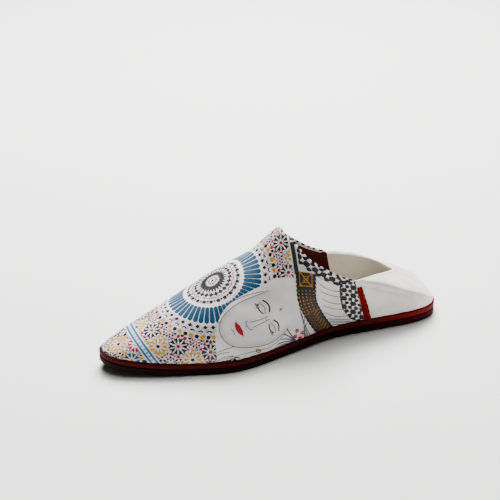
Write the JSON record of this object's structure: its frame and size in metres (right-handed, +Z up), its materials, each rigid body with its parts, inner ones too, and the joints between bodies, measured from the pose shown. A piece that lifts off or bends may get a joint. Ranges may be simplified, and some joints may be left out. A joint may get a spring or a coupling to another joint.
{
  "type": "babouche slipper",
  "caption": "Backless pointed leather slipper with printed vamp, trodden-down white heel piece, red middle sole layer and flat leather outsole.",
  "frame": {"origin": "On the floor under the middle of the slipper's bounding box", "axes": "+Z up, toe towards -X and heel towards +X, inner (big toe) side of this right slipper towards -Y"},
  "size_m": [0.284, 0.0893, 0.0935],
  "materials": {
    "sole_leather": "burnished edge, brown",
    "red_leather": "dyed dark red, burnished",
    "sock_leather": "smooth, pale",
    "printed_leather": "smooth white with printed tile pattern",
    "white_leather": "smooth, off-white",
    "black_elastic": "ribbed elastic",
    "red_pile": "short rough pile"
  },
  "bodies": {
    "root": {"outsole": "sole_leather", "rand": "red_leather", "insole": "sock_leather", "vamp": "printed_leather", "heel_quarter": "white_leather", "gore_near": "black_elastic", "gore_far": "black_elastic", "strip_near": "red_pile", "strip_far": "red_pile"}
  },
  "joints": []
}
